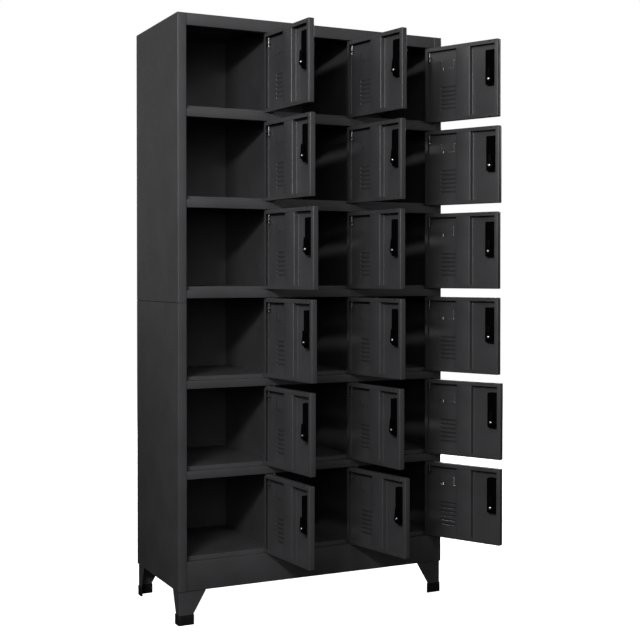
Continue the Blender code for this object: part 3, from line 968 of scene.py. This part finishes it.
def key_plug():
    """The chromed plug with its key slot."""
    in_from_rim, back_from_face = PLUG_CHAMFER
    profile = [
        (0.0, -PLUG_PROUD),
        (PLUG_RADIUS - in_from_rim, -PLUG_PROUD),
        (PLUG_RADIUS, back_from_face - PLUG_PROUD),
        (PLUG_RADIUS, CAM_START),
        (0.0, CAM_START),
    ]
    plug = lock_axis("plug", profile, LOCK_SIDES)
    at = lock_at()
    half_width, half_height = KEY_SLOT[0] / 2, KEY_SLOT[1] / 2
    slot_low = (at.x - half_width, at.y - PAST, at.z - half_height)
    slot_high = (at.x + half_width, at.y + KEY_SLOT_DEPTH, at.z + half_height)
    return cut("key_plug", plug, [block("key_slot", slot_low, slot_high)])


def cam():
    """The latch plate behind the housing, pointing up."""
    at = lock_at()
    tip_radius, shoulder_radius = CAM_CORNERS
    points = [(-CAM_TIP_WIDTH / 2, CAM_LENGTH), (-CAM_WIDTH / 2, CAM_SHOULDER)]
    radii = [tip_radius, shoulder_radius]
    for i in range(CAM_HEEL_STEPS + 1):
        angle = math.pi + math.pi * i / CAM_HEEL_STEPS
        points.append((CAM_HEEL_RADIUS * math.cos(angle), CAM_HEEL_RADIUS * math.sin(angle)))
        radii.append(0.0)
    points += [(CAM_WIDTH / 2, CAM_SHOULDER), (CAM_TIP_WIDTH / 2, CAM_LENGTH)]
    radii += [shoulder_radius, tip_radius]
    outline = [(at.x + x, at.z + z) for x, z in rounded_outline(points, radii, steps=4)]
    return prism("cam", outline, "Y", at.y + CAM_START, at.y + CAM_START + CAM_THICKNESS, CAM_BEVEL)


def cam_screw():
    """A domed zinc screw head with a cross recess."""
    top = CAM_START + CAM_THICKNESS
    rim = top + SCREW_RIM
    dome = [(0.0, top - SCREW_SUNK), (SCREW_RADIUS, top - SCREW_SUNK), (SCREW_RADIUS, rim)]
    for i in range(1, SCREW_DOME_STEPS + 1):
        angle = math.pi / 2 * i / SCREW_DOME_STEPS
        radius = SCREW_RADIUS * math.cos(angle) if i < SCREW_DOME_STEPS else 0.0
        dome.append((radius, rim + (SCREW_HEIGHT - SCREW_RIM) * math.sin(angle)))
    head = lock_axis("head", dome, SCREW_SIDES)
    at = lock_at() + Vector((0.0, top + SCREW_HEIGHT, 0.0))
    arms = []
    for reach_x, reach_z in (SCREW_CROSS, SCREW_CROSS[::-1]):
        near_corner = (at.x - reach_x, at.y - SCREW_CROSS_DEPTH, at.z - reach_z)
        arms.append(block("cross", near_corner, (at.x + reach_x, at.y + PAST, at.z + reach_z)))
    return cut("cam_screw", head, arms)


def build_doors():
    """Hangs a copy of every door part and lock part at the angle and place of its joint.

    Each part has a name, a mesh and a material, and one part of each body stands for its CAD node.
    """
    leaf_parts = (
        ("pan", door_pan(), PAINT, True),
        ("stiffener", door_stiffener(), PAINT, False),
        ("lock_housing", door_housing(), HOUSING_PLASTIC, False),
        ("hinge_bracket", hinge_bracket(), PAINT, False),
        ("top_pin", hinge_pin("top_pin", down(PIN_LENGTH), DOOR_HEIGHT + PIN_OUT), PIN_ZINC, False),
        ("bottom_pin", hinge_pin("bottom_pin", -PIN_OUT, BOTTOM_PIN_TOP), PIN_ZINC, False),
    )
    lock_parts = (
        ("key_plug", key_plug(), CHROME, False),
        ("cam_plate", cam(), BLACK_METAL, True),
        ("cam_screw", cam_screw(), ZINC, False),
    )
    joints = {joint["name"]: joint for joint in frame["joints"]}
    for row in range(ROWS):
        for column in range(COLUMNS):
            suffix = f"r{row + 1}c{column + 1}"
            joint = joints["door_hinge_" + suffix]
            at = Vector((joint["pos_m"][0], joint["pos_m"][1], opening_bottom(row) + DOOR_END_GAP))
            turn = Matrix.Rotation(math.radians(-joint["range_deg"][0]), 4, "Z")
            for parts, body, node in ((leaf_parts, "leaf_", "door_"), (lock_parts, "lock_", "cam_")):
                for name, mesh, material, stands in parts:
                    nodes = [node + suffix] if stands else []
                    hung = moved(mesh.copy(), turn)
                    piece(f"{name}_{suffix}", hung, material, body + suffix, nodes, at)


# ---------------------------------------------------------------- legs


def leg_mesh(name):
    """A tapered angle under a top plate, drawn for a corner whose arms run to +X and +Y."""
    bm = bmesh.new()
    plate_low = LEG_HEIGHT - GAP - LEG_SHEET
    rings = []
    for (wide, deep), z in ((LEG_FOOT, CAP_FLOOR + GAP), (LEG_FOOT, LEG_TAPER_Z), (LEG_TOP, plate_low)):
        path = [(0.0, deep), (0.0, 0.0), (wide, 0.0)]
        outline = fold_outline(path, LEG_SHEET, LEG_BEND, LEG_BEND_STEPS)
        rings.append([bm.verts.new((x, y, z)) for x, y in outline])
    for lower, upper in zip(rings, rings[1:]):
        for i in range(len(lower)):
            j = (i + 1) % len(lower)
            bm.faces.new((lower[i], lower[j], upper[j], upper[i]))
    bm.faces.new(rings[0])
    bm.faces.new(rings[-1])
    angle = finished(bm, "angle")
    corners = [(0.0, 0.0), (LEG_TOP[0], 0.0), (LEG_TOP[0], LEG_TOP[1]), (0.0, LEG_TOP[1])]
    outline = rounded_outline(corners, [LEG_PLATE_CORNER] * 4)
    plate = prism("plate", outline, "Z", plate_low, plate_low + LEG_SHEET, LEG_PLATE_BEVEL)
    return joined(name, [angle, plate])


def cap_mesh(name):
    """An L-shaped plastic cup round the foot of a leg."""

    def angle(grow):
        """The section of the leg's foot, grown on all sides."""
        wide, deep = LEG_FOOT[0] + grow, LEG_FOOT[1] + grow
        arm = LEG_SHEET + grow
        return [(-grow, -grow), (wide, -grow), (wide, arm), (arm, arm), (arm, deep), (-grow, deep)]

    skirt = GAP + CAP_WALL
    radii = [LEG_BEND + LEG_SHEET + skirt] + [CAP_CORNER] * 5
    radii[3] = CAP_INNER_CORNER
    cup = prism("cup", rounded_outline(angle(skirt), radii), "Z", 0.0, CAP_HEIGHT, CAP_BEVEL)
    hollow = prism("hollow", angle(GAP), "Z", CAP_FLOOR, CAP_HEIGHT + PAST)
    return cut(name, cup, [hollow])


def build_legs():
    for side, word in ((-1, "left"), (1, "right")):
        for end, end_word in ((-1, "front"), (1, "rear")):
            suffix = f"{end_word}_{word}"
            corner = Vector((side * (WIDTH / 2 - LEG_INSET), end * (DEPTH / 2 - LEG_INSET), 0.0))
            turn = Matrix.Translation(corner) @ Matrix.Diagonal((-side, -end, 1.0, 1.0))
            for part, build_mesh, material, node in (
                ("angle", leg_mesh, PAINT, "leg_"),
                ("cap", cap_mesh, FOOT_PLASTIC, "foot_"),
            ):
                name = f"{part}_{suffix}"
                piece(name, moved(build_mesh(name), turn), material, "carcass", [node + suffix])


# ---------------------------------------------------------------- camera and stage


def add_camera():
    """The view of the open cabinet from its front left."""
    data = bpy.data.cameras.new("camera")
    data.lens = CAMERA_LENS
    data.sensor_width = 36.0
    data.shift_y = CAMERA_SHIFT_Y
    data.clip_end = 50.0
    camera = bpy.data.objects.new("camera", data)
    camera.location = Vector((LEFT_LOW.x, LEFT_LOW.y, 0.0)) + Vector(CAMERA_FROM_CORNER)
    camera.rotation_euler = (math.pi / 2 - CAMERA_PITCH, 0.0, -CAMERA_YAW)
    bpy.context.scene.collection.objects.link(camera)
    bpy.context.scene.camera = camera


def area_light(name, place, size, power):
    """A softbox aimed at the middle of the cabinet."""
    data = bpy.data.lights.new(name, "AREA")
    data.shape = "RECTANGLE"
    data.size, data.size_y = size
    data.energy = power
    light = bpy.data.objects.new(name, data)
    light.location = place
    aim = Vector((0.0, 0.1, 1.0)) - Vector(place)
    light.rotation_euler = aim.to_track_quat("-Z", "Y").to_euler()
    bpy.context.scene.collection.objects.link(light)


def add_world():
    """White behind the object, and a dim studio round it that is brightest at eye level."""
    world = bpy.data.worlds.new("studio")
    bpy.context.scene.world = world
    world.use_nodes = True
    tree = world.node_tree
    seen = tree.nodes["Background"]
    seen.inputs["Color"].default_value = (1.0, 1.0, 1.0, 1.0)
    room = tree.nodes.new("ShaderNodeBackground")
    place = tree.nodes.new("ShaderNodeTexCoord")
    split = tree.nodes.new("ShaderNodeSeparateXYZ")
    height = tree.nodes.new("ShaderNodeMapRange")
    height.inputs["From Min"].default_value = -1.0
    tree.links.new(place.outputs["Generated"], split.inputs["Vector"])
    tree.links.new(split.outputs["Z"], height.inputs["Value"])
    shades = [(at, (grey, grey, grey)) for at, grey in ROOM_SHADES]
    tree.links.new(ramp(tree, height.outputs["Result"], shades), room.inputs["Color"])
    mix = tree.nodes.new("ShaderNodeMixShader")
    path = tree.nodes.new("ShaderNodeLightPath")
    tree.links.new(path.outputs["Is Camera Ray"], mix.inputs["Fac"])
    tree.links.new(room.outputs["Background"], mix.inputs[1])
    tree.links.new(seen.outputs["Background"], mix.inputs[2])
    tree.links.new(mix.outputs["Shader"], tree.nodes["World Output"].inputs["Surface"])


def add_floor():
    """A pale glowing floor that the camera sees and reflections don't."""
    bm = bmesh.new()
    bmesh.ops.create_grid(bm, x_segments=1, y_segments=1, size=30.0)
    mesh = finished(bm, "floor")
    made, _, shader, _ = node_material("pale_floor", roughness=0.8)
    shader.inputs["Base Color"].default_value = (0.8, 0.8, 0.8, 1.0)
    shader.inputs["Specular IOR Level"].default_value = 0.0
    shader.inputs["Emission Color"].default_value = (1.0, 1.0, 1.0, 1.0)
    shader.inputs["Emission Strength"].default_value = FLOOR_GLOW
    mesh.materials.append(made)
    floor = bpy.data.objects.new("floor", mesh)
    floor.visible_diffuse = False
    floor.visible_glossy = False
    bpy.context.scene.collection.objects.link(floor)


def add_stage():
    add_world()
    add_floor()
    for name, place, size, power in LIGHTS:
        area_light(name, place, size, power)
    bpy.context.scene.view_settings.view_transform = "Standard"


add_camera()
add_stage()
build_carcass()
build_doors()
build_legs()
